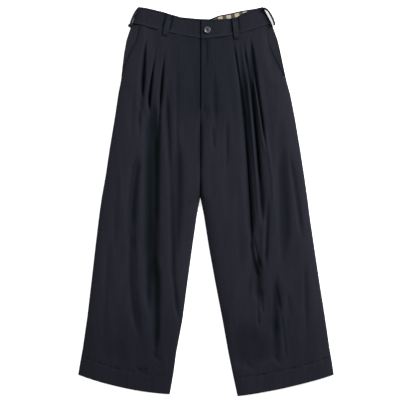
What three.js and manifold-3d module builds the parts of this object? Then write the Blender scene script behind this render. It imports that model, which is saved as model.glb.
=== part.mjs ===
// Wide-leg trousers with pleated fronts, laid flat on a surface with the front up.
// Millimetres. +X points to the wearer's left, +Y to the waist and +Z up from the surface.
// Every piece of cloth is a closed wall: a grid of points with an under side and a top side.
import * as THREE from "three";
import { mergeVertices } from "three/addons/utils/BufferGeometryUtils.js";
import Module from "manifold-3d";

// Cloth and seams
const CLOTH = 1.2;
const HEM_CLOTH = 2.2;
const BAND_CLOTH = 2;
const LINING_CLOTH = 1;
const SEAM = 0.3;
const LAYER = 0.35;

// Heights of the layers
const BACK_TOP = CLOTH;
const FRONT_REST = BACK_TOP + SEAM;
const FACING_RISE = CLOTH + SEAM;
const BAND_REST = BAND_CLOTH + SEAM;
const BAND_LOFT = 3.2;
const LAP_LIFT = BAND_CLOTH + SEAM;
const FLY_LIFT = 2;

// How far a panel takes to rise from an edge
const SIDE_REACH = 50;
const INSEAM_REACH = 38;
const CENTRE_REACH = 12;
const BAND_REACH = 60;

// The fly, on the centre line
const CENTRE_X = -13;
const FLY_TOP = 423;
const FLY_END = 255;
const LAP_FLAT = 28;
const LAP_FADE = 36;
const SHIELD = { from: -22, to: 20, thick: 1 };
const ZIP = { from: -12, to: 11, thick: 1, top: 417, low: 268 };

// Pockets, hems and belt loops
const MOUTH_UNDER = 15;
const FACING_END = 330;
const POCKET_END = 312;
const FADE = 30;
const LOOP = { wide: 15, thick: 1.6, arch: 1.2 };
const SIDE_LOOP = { thick: 2.2, low: 0.4, high: 14.4, lean: 2.5 };
const BUTTON = { x: 3.5, y: 446, radius: 8.5, thick: 2.8, rim: 1.9, dish: 1.1, hole: 0.9, pitch: 1.75 };

// Colours
const NAVY = 0x26262f;
const NAVY_INSIDE = 0x202028;
const CREAM = 0xb8ab93;
const BUTTON_GREY = 0x6f7076;
const TAPE = 0x1b1b21;

// A wide trough has a flatter bottom than a narrow one, and all narrow to this share at their ends
const WIDE = 12;
const WIDE_POWER = 2.8;
const POINTED = 0.4;

const sectionTable = (rows) =>
  rows.map(([at, sideX, sideY, mouthX, mouthY, inX, inY, bow, steps]) => {
    return { at, sideX, sideY, mouthX, mouthY, inX, inY, bow, steps };
  });

const foldTable = (rows) =>
  rows.map(([name, top, mid, low, half, deep, fades, soft = 1]) => {
    return { name, top, mid, low, half, deep, fades, soft };
  });

// Each section runs across a leg from the side seam, or from the pocket mouth in front of it, to
// the centre seam or the inseam. Its bow is how far its middle hangs towards the hem, and its
// steps are the rows of points from it to the next section.
const RIGHT_SECTIONS = sectionTable([
  ["waist seam", -193, 463, -170, 459, -13, 423, 3, 1],
  ["hip 1", -207, 419, -181, 419, -13, 387, 1, 1],
  ["hip 2", -213, 387, -198, 387, -13, 351, 0, 1],
  ["hip 3", -217, 356, -210, 356, -13, 315, 0, 1],
  ["pocket end", -222, 312, -222, 312, -13, 278, 0, 1],
  ["fly end", -228, 283, -228, 283, -14, 247, 0, 2],
  ["rise 1", -238, 216, -238, 216, -15, 190, 0, 2],
  ["rise 2", -251, 138, -251, 138, -15, 120, 0, 2],
  ["rise 3", -261, 70, -261, 70, -15, 60, 0, 2],
  ["crotch", -272, 8, -272, 8, -15, 12, 0, 1],
  ["thigh", -278, -34, -278, -34, -23, -34, 0, 2],
  ["knee 1", -288, -117, -288, -117, -35, -117, 0, 3],
  ["knee 2", -298, -205, -298, -205, -48, -211, 0, 3],
  ["calf", -309, -299, -309, -299, -61, -309, 1, 2],
  ["above hem", -321, -382, -321, -382, -77, -393, 3, 1],
  ["hem stitching", -327, -415, -327, -415, -84, -446, 5, 2],
  ["hem", -333, -451, -333, -451, -94, -502, 9, 0],
]);

const LEFT_SECTIONS = sectionTable([
  ["waist seam", 171, 464, 153, 457, -13, 423, 7, 1],
  ["hip 1", 187, 416, 161, 416, -13, 387, 3, 1],
  ["hip 2", 194, 387, 172, 387, -13, 351, 1, 1],
  ["hip 3", 201, 354, 188, 354, -13, 315, 0, 1],
  ["pocket end", 212, 307, 212, 307, -13, 278, 0, 1],
  ["fly end", 220, 278, 220, 278, -14, 247, 0, 2],
  ["rise 1", 233, 211, 233, 211, -15, 190, 0, 2],
  ["rise 2", 246, 133, 246, 133, -15, 120, 0, 2],
  ["rise 3", 256, 68, 256, 68, -15, 60, 0, 2],
  ["crotch", 265, 5, 265, 5, -15, 12, 0, 1],
  ["thigh", 270, -36, 270, -36, -6, -34, 0, 2],
  ["knee 1", 282, -117, 282, -117, 7, -117, 0, 3],
  ["knee 2", 295, -205, 295, -205, 24, -211, 0, 3],
  ["calf", 310, -299, 310, -299, 43, -309, 1, 2],
  ["above hem", 322, -382, 322, -382, 58, -393, 2, 1],
  ["hem stitching", 328, -416, 328, -416, 70, -452, 4, 2],
  ["hem", 333, -451, 333, -451, 82, -507, 6, 0],
]);

// Each fold follows a curve through its top, middle and low points, given as x and y. Half is half
// its width, deep is how far it sinks, negative where it stands up, and fades are the lengths of
// its soft ends. Soft makes one side that many times wider, the one towards +x, or towards -x
// where it is negative.
const RIGHT_FOLDS = foldTable([
  ["outer pleat", [-155, 434], [-162, 335], [-166, 250], 4, 9, [90, 70], -1.6],
  ["middle pleat", [-132, 385], [-143, 305], [-150, 232], 3.6, 9.5, [90, 40], -1.4],
  ["inner pleat", [-105, 410], [-116, 318], [-121, 185], 3.2, 7.5, [120, 90], 1.8],
  ["pleat hollow", [-139, 285], [-142, 60], [-144, -250], 18, 11, [110, 130]],
  ["pleat hollow line", [-131, 190], [-129, 60], [-130, -80], 7, 3, [60, 60]],
  ["hollow outer end", [-146, -130], [-151, -210], [-147, -300], 9, 5, [60, 70]],
  ["hollow inner end", [-131, -120], [-130, -260], [-134, -425], 9, 6, [90, 80]],
  ["beside pleats", [-82, 362], [-76, 255], [-77, 120], 5, 2.2, [90, 70]],
  ["inner crease", [-103, 290], [-93, 60], [-84, -240], 7, 2.4, [60, 50]],
  ["inner crease low", [-81, -190], [-77, -265], [-64, -335], 6, 3, [60, 50]],
  ["inner hollow", [-74, 170], [-79, 20], [-80, -170], 15, 3.8, [80, 80]],
  ["outer hollow", [-175, 140], [-191, 20], [-190, -140], 13, 4.4, [60, 40]],
  ["outer hollow low", [-189, -70], [-189, -240], [-172, -370], 13, 4.5, [80, 90]],
  ["outer crease", [-172, 255], [-175, 215], [-178, 180], 5, 2.5, [30, 30]],
]);

const LEFT_FOLDS = foldTable([
  ["inner pleat", [70, 430], [100, 190], [121, -127], 3, 5, [60, 60]],
  ["inner hollow", [86, 420], [106, 160], [119, -125], 9.5, 8.5, [150, 80]],
  ["middle pleat", [95, 430], [121, 250], [142, 29], 4, 5.5, [80, 60]],
  ["pleat ridge", [106, 340], [125, 150], [143, -70], 3.5, -4, [70, 60]],
  ["outer hollow", [113, 425], [131, 150], [149, -80], 8.5, 8, [90, 80]],
  ["outer pleat", [114, 436], [140, 255], [162, 95], 3.6, 6.5, [60, 110]],
  ["outer pleat low", [163, 40], [158, -75], [155, -190], 6, 3.6, [90, 60]],
  ["inner pleat low", [117, -80], [123, -150], [138, -205], 6, 6, [40, 30]],
  ["pleat end", [137, -130], [134, -205], [142, -290], 10, 7, [40, 60]],
  ["inside the end", [151, -30], [148, -90], [146, -150], 7, -3, [40, 30]],
  ["knee crease", [117, -130], [116, -205], [108, -265], 8, 3.2, [50, 50]],
  ["calf hollow", [186, -175], [180, -270], [178, -392], 12, 6.5, [70, 80]],
  ["calf crease 1", [184, -215], [188, -255], [197, -295], 5, 2, [30, 30]],
  ["calf crease 2", [197, -290], [202, -350], [211, -420], 4.5, 1.8, [30, 40]],
  ["side crease", [215, 140], [236, 16], [254, -115], 6.5, 3.2, [60, 70]],
  ["side crease low", [257, -130], [261, -240], [264, -345], 8, 2.6, [70, 70]],
  ["side hollow", [200, 160], [203, -20], [200, -170], 15, 3, [90, 90]],
  ["beside the fly", [22, 345], [21, 255], [27, 188], 7, 2.6, [80, 60]],
  ["crotch crease 1", [17, 205], [18, 165], [21, 125], 5, 2.5, [30, 30]],
  ["crotch crease 2", [51, 215], [54, 160], [57, 100], 6, 1.3, [40, 40]],
]);

// Dense gives the stretch across the leg that holds the folds, with the columns in and beside it.
const LEGS = {
  right: {
    inward: 1,
    sections: RIGHT_SECTIONS,
    folds: RIGHT_FOLDS,
    dense: { from: 0.24, to: 0.86, before: 5, inside: 26, after: 5 },
  },
  left: {
    inward: -1,
    sections: LEFT_SECTIONS,
    folds: LEFT_FOLDS,
    dense: { from: 0.26, to: 0.7, before: 6, inside: 24, after: 9 },
  },
};

// How far the front stands off the back down the legs, and how deep its centre seam sinks
const LOFT_BY_Y = [
  { y: -505, value: 3 },
  { y: -420, value: 6 },
  { y: -300, value: 11 },
  { y: -50, value: 14 },
  { y: 150, value: 13 },
  { y: 300, value: 10 },
  { y: 423, value: 4 },
  { y: 470, value: 3 },
];
const SINK_BY_Y = [
  { y: 12, value: 1 },
  { y: 40, value: 0.9 },
  { y: 60, value: 0.55 },
  { y: 120, value: 0.6 },
  { y: 190, value: 0.85 },
  { y: 216, value: 0.35 },
  { y: 247, value: 0 },
];

// The waistband's top edges and its ends at the side seams
const BAND_TOPS = {
  right: [[-175, 507], [-160, 505], [-144, 501.5], [-113, 494], [-97, 489], [-66, 480], [-13, 475], [24, 474]],
  left: [[-13, 475], [27, 474], [61, 476], [81, 480], [95, 489], [111, 496], [128, 502], [148, 507]],
  back: [[-175, 503], [-92, 479], [-40, 469], [-6, 470], [14, 477], [32, 484.5], [64, 490.5], [95, 497.5],
    [127, 502.5], [148, 506]],
};
const BAND_ENDS = {
  right: { topX: -175, topY: 507, lowX: -193, lowY: 463 },
  left: { topX: 148, topY: 507, lowX: 171, lowY: 464 },
};

// Where the belt loops lie: the ends of a front loop's middle line, and a side loop's curve
const FRONT_LOOPS = {
  right: { top: [-97, 476], low: [-107, 432] },
  left: { top: [75, 474], low: [80.5, 423] },
};
const SIDE_LOOPS = {
  right: [[-177.2, 506], [-186, 497], [-193.5, 482], [-199, 467], [-199.5, 456.5], [-196.5, 457]],
  left: [[150, 506], [159, 503], [168, 495], [177, 479], [181.5, 466], [181, 458], [175, 459]],
};

const lerp = THREE.MathUtils.lerp;
const clamp = THREE.MathUtils.clamp;
const smooth = (s) => THREE.MathUtils.smoothstep(s, 0, 1);
const range = (n) => [...Array(n).keys()];

// Value of a piecewise straight line through rows sorted by a key, carried on past its ends.
function along(rows, key, value, at) {
  const rising = rows[0][key] < rows[rows.length - 1][key];
  let i = 0;
  while (i < rows.length - 2 && (rising ? at > rows[i + 1][key] : at < rows[i + 1][key])) i += 1;
  const share = (at - rows[i][key]) / (rows[i + 1][key] - rows[i][key]);
  return lerp(rows[i][value], rows[i + 1][value], share);
}

const clampedAlong = (rows, key, value, at) => {
  const ends = [rows[0][key], rows[rows.length - 1][key]];
  return along(rows, key, value, clamp(at, Math.min(...ends), Math.max(...ends)));
};

// Rise of a sheet from 0 at its edge to 1 at the reach, round like a quarter of an ellipse.
function rise(distance, reach) {
  const s = clamp(distance / reach, 0, 1);
  return Math.sqrt(1 - (1 - s) ** 2);
}

// A softened max(value, 0), so that a trough meets the floor without a crease.
const softFloor = (value) => 0.5 * (value + Math.sqrt(value * value + 2));

// Depth of one fold at a point.
function foldDepth({ top, mid, low, half, deep, fades, soft }, x, y) {
  if (y >= top[1] || y <= low[1]) return 0;
  const a = ((y - mid[1]) * (y - low[1])) / ((top[1] - mid[1]) * (top[1] - low[1]));
  const b = ((y - top[1]) * (y - low[1])) / ((mid[1] - top[1]) * (mid[1] - low[1]));
  const c = ((y - top[1]) * (y - mid[1])) / ((low[1] - top[1]) * (low[1] - mid[1]));
  const ends = smooth((top[1] - y) / fades[0]) * smooth((y - low[1]) / fades[1]);
  const across = (x - a * top[0] - b * mid[0] - c * low[0]) / (half * lerp(POINTED, 1, ends));
  const s = Math.abs(across) / Math.max(across > 0 ? soft : -soft, 1);
  return deep * ends * Math.exp(-(s ** (half > WIDE ? WIDE_POWER : 2)));
}

// The seam between a front panel and the waistband, as a height of y over x.
function seamY(side, x) {
  const row = LEGS[side].sections[0];
  const u = (x - row.mouthX) / (row.inX - row.mouthX);
  if (u < 0) return lerp(row.mouthY, row.sideY, (x - row.mouthX) / (row.sideX - row.mouthX));
  const s = Math.min(u, 1);
  return lerp(row.mouthY, row.inY, s) - 4 * row.bow * s * (1 - s);
}

// Under side of a front waistband piece.
function bandUnder(side, x, y) {
  const { inward } = LEGS[side];
  const end = BAND_ENDS[side];
  const edge = lerp(end.topX, end.lowX, (y - end.topY) / (end.lowY - end.topY));
  const lap = side === "left" ? 1 - smooth((x - LAP_FLAT) / LAP_FADE) : 0;
  return BAND_REST + BAND_LOFT * rise((x - edge) * inward, BAND_REACH) + LAP_LIFT * lap;
}

// Under side of a front panel.
function frontUnder(side, x, y) {
  const { inward, sections, folds } = LEGS[side];
  const outer = (x - along(sections, "mouthY", "mouthX", y)) * inward;
  const inner = (along(sections, "inY", "inX", y) - x) * inward;
  const inReach = y > sections[9].inY ? CENTRE_REACH : INSEAM_REACH;
  const sink = clampedAlong(SINK_BY_Y, "y", "value", y);
  const edges = rise(outer, SIDE_REACH) * (1 - sink * (1 - rise(inner, inReach)));
  const depth = folds.reduce((sum, fold) => sum + foldDepth(fold, x, y), 0);
  const loft = clampedAlong(LOFT_BY_Y, "y", "value", y);
  const overFacing = 1 - smooth((outer - 2 * MOUTH_UNDER) / FADE);
  const pocket = FACING_RISE * overFacing * smooth((y - POCKET_END + FADE) / FADE);
  const fly = smooth((y - FLY_END + FADE) / FADE);
  const lap = side === "left" ? 1 - smooth((x - LAP_FLAT) / LAP_FADE) : 0;
  const free = FRONT_REST + pocket + edges * softFloor(loft - depth) + FLY_LIFT * fly * lap;
  const below = smooth((seamY(side, x) - y) / FADE);
  return lerp(bandUnder(side, x, y), free, below);
}

// Thickness measured upwards, so that a sloping wall stays as thick as a level one.
function upright(under, x, y, thick) {
  const step = 2;
  const slopeX = (under(x + step, y) - under(x - step, y)) / (2 * step);
  const slopeY = (under(x, y + step) - under(x, y - step)) / (2 * step);
  return thick * Math.min(Math.hypot(1, slopeX, slopeY), 1.8);
}

// A closed wall over a grid. at(u, v) gives x, y and the heights of its two sides.
function wall(us, vs, at) {
  const points = [];
  const index = [];
  const columns = us.length;
  const count = columns * vs.length;
  for (const layer of ["under", "top"]) {
    vs.forEach((v) => us.forEach((u) => {
      const p = at(u, v);
      points.push(p.x, p.y, p[layer]);
    }));
  }
  const quad = (a, b, c, d) => index.push(a, b, c, a, c, d);
  const id = (i, j) => j * columns + i;
  for (let j = 0; j < vs.length - 1; j += 1) {
    for (let i = 0; i < columns - 1; i += 1) {
      const square = [id(i, j), id(i + 1, j), id(i + 1, j + 1), id(i, j + 1)];
      quad(...square);
      quad(...square.reverse().map((k) => k + count));
    }
  }
  const rim = [
    ...range(columns - 1).map((i) => [id(i, 0), id(i + 1, 0)]),
    ...range(vs.length - 1).map((j) => [id(columns - 1, j), id(columns - 1, j + 1)]),
    ...range(columns - 1).map((i) => [id(columns - 1 - i, vs.length - 1), id(columns - 2 - i, vs.length - 1)]),
    ...range(vs.length - 1).map((j) => [id(0, vs.length - 1 - j), id(0, vs.length - 2 - j)]),
  ];
  rim.forEach(([a, b]) => quad(b, a, a + count, b + count));
  return outward(points, index);
}

// A geometry whose faces point out, whichever way round its grid runs.
function outward(points, index) {
  const corner = (k) => new THREE.Vector3(...points.slice(3 * k, 3 * k + 3));
  let volume = 0;
  for (let i = 0; i < index.length; i += 3) {
    volume += corner(index[i]).dot(corner(index[i + 1]).cross(corner(index[i + 2])));
  }
  if (volume < 0) index.reverse();
  const geometry = new THREE.BufferGeometry();
  geometry.setAttribute("position", new THREE.Float32BufferAttribute(points, 3));
  geometry.setIndex(index);
  geometry.computeVertexNormals();
  return geometry;
}

const even = (steps) => range(steps + 1).map((i) => i / steps);

// Columns across a leg, close together where the folds lie.
function legColumns({ from, to, before, inside, after }) {
  return [
    ...even(before).map((s) => s * from),
    ...even(inside).slice(1).map((s) => lerp(from, to, s)),
    ...even(after).slice(1).map((s) => lerp(to, 1, s)),
  ];
}

// Rows down a leg, as a section's number and the share of the way to the next one.
function legRows(sections, most) {
  const rows = [];
  sections.slice(0, -1).forEach(({ steps }, i) => {
    const count = Math.min(steps, most);
    range(count).forEach((k) => rows.push(i + k / count));
  });
  return [...rows, sections.length - 1];
}

// Point of a leg: u runs from its outer edge to its inner one, v along the sections.
function legPoint(side, outerX, outerY, u, v) {
  const { sections, inward } = LEGS[side];
  const i = Math.min(Math.floor(v), sections.length - 2);
  const value = (key) => lerp(sections[i][key], sections[i + 1][key], v - i);
  const half = SEAM / 2;
  const x = lerp(value(outerX), value("inX") - half * inward, u);
  const y = lerp(value(outerY), value("inY"), u) - 4 * value("bow") * u * (1 - u);
  return { x, y: v === 0 ? seamY(side, x) - half : y };
}

function frontPanel(side) {
  const { sections, dense } = LEGS[side];
  const under = (x, y) => frontUnder(side, x, y);
  const hemRow = sections.length - 2;
  return wall(legColumns(dense), legRows(sections, 3), (u, v) => {
    const p = legPoint(side, "mouthX", "mouthY", u, v);
    p.under = under(p.x, p.y);
    p.top = p.under + upright(under, p.x, p.y, v >= hemRow ? HEM_CLOTH : CLOTH);
    return p;
  });
}

function backPanel(side) {
  return wall(even(6), legRows(LEGS[side].sections, 1), (u, v) => {
    return { ...legPoint(side, "sideX", "sideY", u, v), under: 0, top: BACK_TOP };
  });
}

// The cloth that shows in a pocket's mouth, from the side seam to a little under the front panel.
function pocketFacing(side) {
  const { sections, inward } = LEGS[side];
  return wall(even(2), even(4), (u, v) => {
    const y = lerp(sections[0].sideY, FACING_END, v);
    const inner = along(sections, "mouthY", "mouthX", y) + MOUTH_UNDER * inward;
    const x = lerp(along(sections, "sideY", "sideX", y), inner, u);
    const top = lerp(seamY(side, x) - SEAM / 2, FACING_END, v);
    return { x, y: top, under: FRONT_REST, top: FRONT_REST + CLOTH };
  });
}

const bandTopY = (name, x) => along(BAND_TOPS[name], 0, 1, x);

function frontBand(side, innerX) {
  const { inward } = LEGS[side];
  const end = BAND_ENDS[side];
  const inner = innerX - (SEAM / 2) * inward * (side === "left" ? 1 : 0);
  return wall(even(18), even(3), (u, v) => {
    const topX = lerp(end.topX, inner, u);
    const lowX = lerp(end.lowX, inner, u);
    const x = lerp(topX, lowX, v);
    const y = lerp(bandTopY(side, topX), seamY(side, lowX) + SEAM / 2, v);
    const under = bandUnder(side, x, y);
    return { x, y, under, top: under + BAND_CLOTH };
  });
}

// A flat strip behind the waist: the back waistband, or the checked lining that lies on it.
function backStrip({ under, thick, inset, edge }) {
  const { right, left } = BAND_ENDS;
  return wall(even(24), [0, 1], (u, v) => {
    const topX = lerp(right.topX + inset, left.topX - inset, u);
    const lowX = lerp(right.lowX + inset, left.lowX - inset, u);
    const seam = seamY(lowX < CENTRE_X ? "right" : "left", lowX) + SEAM / 2;
    const x = lerp(topX, lowX, v);
    return { x, y: lerp(bandTopY("back", topX) - edge, seam + edge, v), under, top: under + thick };
  });
}

// A strip under the fly, as far below the front panels as drop says.
function flyStrip({ from, to, thick }, top, low, drop) {
  return wall(even(4), even(8), (u, v) => {
    const x = lerp(from, to, u);
    const y = lerp(top, low, v);
    const face = Math.min(frontUnder("right", x, y) + FLY_LIFT, frontUnder("left", x, y)) - drop;
    return { x, y, under: face - thick, top: face };
  });
}

// A belt loop on the front: a strip over the waistband, standing off a little in its middle.
function frontLoop(side) {
  const top = new THREE.Vector2(...FRONT_LOOPS[side].top);
  const low = new THREE.Vector2(...FRONT_LOOPS[side].low);
  const across = low.clone().sub(top).normalize().rotateAround(new THREE.Vector2(), Math.PI / 2);
  return wall(even(1), even(8), (u, v) => {
    const p = top.clone().lerp(low, v).addScaledVector(across, LOOP.wide * (u - 0.5));
    const seat = bandUnder(side, p.x, p.y) + BAND_CLOTH + LAYER;
    const under = seat + LOOP.arch * Math.sin(Math.PI * v);
    return { x: p.x, y: p.y, under, top: under + LOOP.thick };
  });
}

// A belt loop on a side seam: a strip on its edge, bowed out from the waistband's end.
function sideLoop(side) {
  const curve = new THREE.CatmullRomCurve3(SIDE_LOOPS[side].map(([x, y]) => new THREE.Vector3(x, y, 0)));
  const { inward } = LEGS[side];
  const steps = 20;
  const points = [];
  const index = [];
  const quad = (a, b, c, d) => index.push(a, b, c, a, c, d);
  range(steps + 1).forEach((i) => {
    const p = curve.getPointAt(i / steps);
    const t = curve.getTangentAt(i / steps);
    const out = new THREE.Vector3(t.y, -t.x, 0).multiplyScalar(SIDE_LOOP.thick / 2);
    const lean = SIDE_LOOP.lean * inward * Math.sin((Math.PI * i) / steps);
    points.push(p.x - out.x, p.y - out.y, SIDE_LOOP.low);
    points.push(p.x + out.x, p.y + out.y, SIDE_LOOP.low);
    points.push(p.x + out.x + lean, p.y + out.y, SIDE_LOOP.high);
    points.push(p.x - out.x + lean, p.y - out.y, SIDE_LOOP.high);
  });
  range(steps).forEach((i) => {
    range(4).forEach((k) => {
      const [a, b] = [4 * i + k, 4 * i + ((k + 1) % 4)];
      quad(a, b, b + 4, a + 4);
    });
  });
  quad(3, 2, 1, 0);
  quad(...[0, 1, 2, 3].map((k) => 4 * steps + k));
  return outward(points, index);
}

const wasm = await Module();
wasm.setup();

function solid(geometry) {
  const bare = geometry.clone();
  bare.deleteAttribute("normal");
  bare.deleteAttribute("uv");
  const merged = mergeVertices(bare, 1e-4);
  return new wasm.Manifold(
    new wasm.Mesh({
      numProp: 3,
      vertProperties: new Float32Array(merged.attributes.position.array),
      triVerts: new Uint32Array(merged.index.array),
    }),
  );
}

function geometryOf(made) {
  const { numProp, vertProperties, triVerts } = made.getMesh();
  const geometry = new THREE.BufferGeometry();
  const xyz = range(vertProperties.length / numProp).flatMap((i) => {
    return [...vertProperties.subarray(i * numProp, i * numProp + 3)];
  });
  geometry.setAttribute("position", new THREE.Float32BufferAttribute(xyz, 3));
  geometry.setIndex([...triVerts]);
  geometry.computeVertexNormals();
  return geometry;
}

// A turned button with a round rim, a dished face and four holes.
function buttonGeometry() {
  const { radius, thick, rim, dish, hole, pitch } = BUTTON;
  const profile = new THREE.Path();
  profile.moveTo(0, 0);
  profile.lineTo(radius - rim / 2, 0);
  profile.quadraticCurveTo(radius, 0, radius, thick / 2);
  profile.quadraticCurveTo(radius, thick, radius - rim / 2, thick);
  profile.quadraticCurveTo(radius - rim, thick, radius - 1.4 * rim, thick - dish / 2);
  profile.quadraticCurveTo(radius / 3, thick - dish, 0, thick - dish);
  const turned = new THREE.LatheGeometry(profile.getPoints(3), 24);
  turned.rotateX(Math.PI / 2);
  let body = solid(turned);
  range(4).forEach((k) => {
    const drill = new THREE.CylinderGeometry(hole, hole, 4 * thick, 8);
    drill.rotateX(Math.PI / 2);
    const turn = Math.PI / 4 + (k * Math.PI) / 2;
    drill.translate(pitch * Math.cos(turn), pitch * Math.sin(turn), 0);
    body = body.subtract(solid(drill));
  });
  return geometryOf(body);
}

const cloth = new THREE.MeshStandardMaterial({ name: "navy_twill", color: NAVY, roughness: 0.9 });
const inside = new THREE.MeshStandardMaterial({ name: "navy_inside", color: NAVY_INSIDE, roughness: 0.95 });
const lining = new THREE.MeshStandardMaterial({ name: "check_lining", color: CREAM, roughness: 0.85 });
const tape = new THREE.MeshStandardMaterial({ name: "zip_tape", color: TAPE, roughness: 0.8 });
const grey = new THREE.MeshStandardMaterial({ name: "button_grey", color: BUTTON_GREY, roughness: 0.35 });

const trousers = new THREE.Group();

function add(parent, name, geometry, material) {
  const mesh = new THREE.Mesh(geometry, material);
  mesh.name = name;
  parent.add(mesh);
  return mesh;
}

for (const side of ["right", "left"]) {
  const leg = new THREE.Group();
  add(leg, `front_${side}`, frontPanel(side), cloth);
  add(leg, `back_${side}`, backPanel(side), cloth);
  add(leg, `pocket_facing_${side}`, pocketFacing(side), cloth);
  trousers.add(leg);
}

const waist = new THREE.Group();
add(waist, "waistband_right", frontBand("right", SHIELD.to), cloth);
add(waist, "waistband_left", frontBand("left", CENTRE_X), cloth);
add(waist, "waistband_back", backStrip({ under: 0, thick: BAND_CLOTH, inset: 0, edge: 0 }), cloth);
const liningPlace = { under: BAND_REST, thick: LINING_CLOTH, inset: 8, edge: 3.4 };
add(waist, "waistband_lining", backStrip(liningPlace), lining);
for (const side of ["right", "left"]) {
  add(waist, `belt_loop_front_${side}`, frontLoop(side), cloth);
  add(waist, `belt_loop_side_${side}`, sideLoop(side), cloth);
}
const button = add(waist, "button", buttonGeometry(), grey);
const buttonSeat = bandUnder("left", BUTTON.x, BUTTON.y) + BAND_CLOTH + SEAM;
button.position.set(BUTTON.x, BUTTON.y, buttonSeat);
trousers.add(waist);

const fly = new THREE.Group();
add(fly, "fly_shield", flyStrip(SHIELD, FLY_TOP - 2, FLY_END, FLY_LIFT + LAYER), inside);
add(fly, "fly_zip", flyStrip(ZIP, ZIP.top, ZIP.low, LAYER), tape);
trousers.add(fly);

export default trousers;
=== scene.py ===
# %% [markdown]
# # Wide-leg trousers, laid flat
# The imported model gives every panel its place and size. This lesson dresses it: each panel becomes
# a thin sheet of dark twill with its pleats and creases, and the waistband gets its loops, button,
# checked lining and stitching. All sides are named for the wearer, so the right leg is at the left
# of the picture.

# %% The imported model
import math
from collections import namedtuple

import bpy
import numpy as np
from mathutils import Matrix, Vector


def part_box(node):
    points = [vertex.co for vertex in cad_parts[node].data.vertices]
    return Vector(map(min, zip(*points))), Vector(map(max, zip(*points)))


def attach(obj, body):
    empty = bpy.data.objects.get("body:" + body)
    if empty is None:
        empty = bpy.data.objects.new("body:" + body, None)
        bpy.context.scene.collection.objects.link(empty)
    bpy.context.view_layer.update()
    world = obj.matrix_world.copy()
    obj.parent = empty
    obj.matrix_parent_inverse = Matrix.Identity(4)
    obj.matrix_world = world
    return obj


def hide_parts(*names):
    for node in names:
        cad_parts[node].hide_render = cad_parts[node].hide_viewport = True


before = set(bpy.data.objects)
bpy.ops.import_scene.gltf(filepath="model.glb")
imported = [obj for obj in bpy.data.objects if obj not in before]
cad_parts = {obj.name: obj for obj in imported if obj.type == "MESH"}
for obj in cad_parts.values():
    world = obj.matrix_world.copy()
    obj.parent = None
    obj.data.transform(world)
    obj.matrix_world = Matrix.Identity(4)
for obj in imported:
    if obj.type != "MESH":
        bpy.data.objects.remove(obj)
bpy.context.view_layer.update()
MM = 0.001

# %% [markdown]
# ## Sizes
# A maker works from a few measures: how thick the cloth is, how far the seams lie apart, and how
# high each layer lies when the garment is put down. They are the same here as in the model, so that
# each sheet takes the place of its solid.

# %% Sizes in millimetres
CLOTH = 1.2
BAND_CLOTH = 2.0
LINING_CLOTH = 1.0
SEAM = 0.3
LAYER = 0.35
# Heights over the table, and lifts where the left side laps over the right one
FRONT_REST = CLOTH + SEAM
FACING_RISE = CLOTH + SEAM
BAND_REST = BAND_CLOTH + SEAM
BAND_LOFT = 3.2
LAP_LIFT = BAND_CLOTH + SEAM
FLY_LIFT = 2.0
# How far in from its edge a sheet reaches its full height
SIDE_REACH = 50
INSEAM_REACH = 38
CENTRE_REACH = 12
BAND_REACH = 60
# Places across and along the garment, and the length of a soft change
CENTRE_X = -13
FLY_END = 255
LAP_FLAT = 28
LAP_FADE = 36
MOUTH_UNDER = 15
FACING_END = 330
POCKET_END = 312
SHIELD_TO = 20
FADE = 30
print("heights in mm: front", FRONT_REST, "waistband", BAND_REST)

# %% [markdown]
# ## The cut
# Each row is a section across a leg: x and y at the side seam, x and y at the centre seam or the
# inseam, the bow by which the section's middle hangs towards the hem, and then, on the upper rows,
# x and y at the pocket mouth, where the front panel starts.

# %% Sections across the legs
Section = namedtuple("Section", "at side_x side_y in_x in_y bow mouth_x mouth_y")


def sections(*rows):
    """A row that gives no pocket mouth has it at the side seam."""
    return [Section(*row, *(row[1:3] if len(row) == 6 else ())) for row in rows]


RIGHT_SECTIONS = sections(
    ("waist seam", -193, 463, -13, 423, 3, -170, 459),
    ("hip 1", -207, 419, -13, 387, 1, -181, 419),
    ("hip 2", -213, 387, -13, 351, 0, -198, 387),
    ("hip 3", -217, 356, -13, 315, 0, -210, 356),
    ("pocket end", -222, 312, -13, 278, 0),
    ("fly end", -228, 283, -14, 247, 0),
    ("rise 1", -238, 216, -15, 190, 0),
    ("rise 2", -251, 138, -15, 120, 0),
    ("rise 3", -261, 70, -15, 60, 0),
    ("crotch", -272, 8, -15, 12, 0),
    ("thigh", -278, -34, -23, -34, 0),
    ("knee 1", -288, -117, -35, -117, 0),
    ("knee 2", -298, -205, -48, -211, 0),
    ("calf", -309, -299, -61, -309, 1),
    ("above hem", -321, -382, -77, -393, 3),
    ("hem line", -327, -415, -84, -446, 5),
    ("hem", -333, -451, -94, -502, 9),
)
LEFT_SECTIONS = sections(
    ("waist seam", 171, 464, -13, 423, 7, 153, 457),
    ("hip 1", 187, 416, -13, 387, 3, 161, 416),
    ("hip 2", 194, 387, -13, 351, 1, 172, 387),
    ("hip 3", 201, 354, -13, 315, 0, 188, 354),
    ("pocket end", 212, 307, -13, 278, 0),
    ("fly end", 220, 278, -14, 247, 0),
    ("rise 1", 233, 211, -15, 190, 0),
    ("rise 2", 246, 133, -15, 120, 0),
    ("rise 3", 256, 68, -15, 60, 0),
    ("crotch", 265, 5, -15, 12, 0),
    ("thigh", 270, -36, -6, -34, 0),
    ("knee 1", 282, -117, 7, -117, 0),
    ("knee 2", 295, -205, 24, -211, 0),
    ("calf", 310, -299, 43, -309, 1),
    ("above hem", 322, -382, 58, -393, 2),
    ("hem line", 328, -416, 70, -452, 4),
    ("hem", 333, -451, 82, -507, 6),
)
CROTCH = 9  # the crotch's row in both tables

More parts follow.
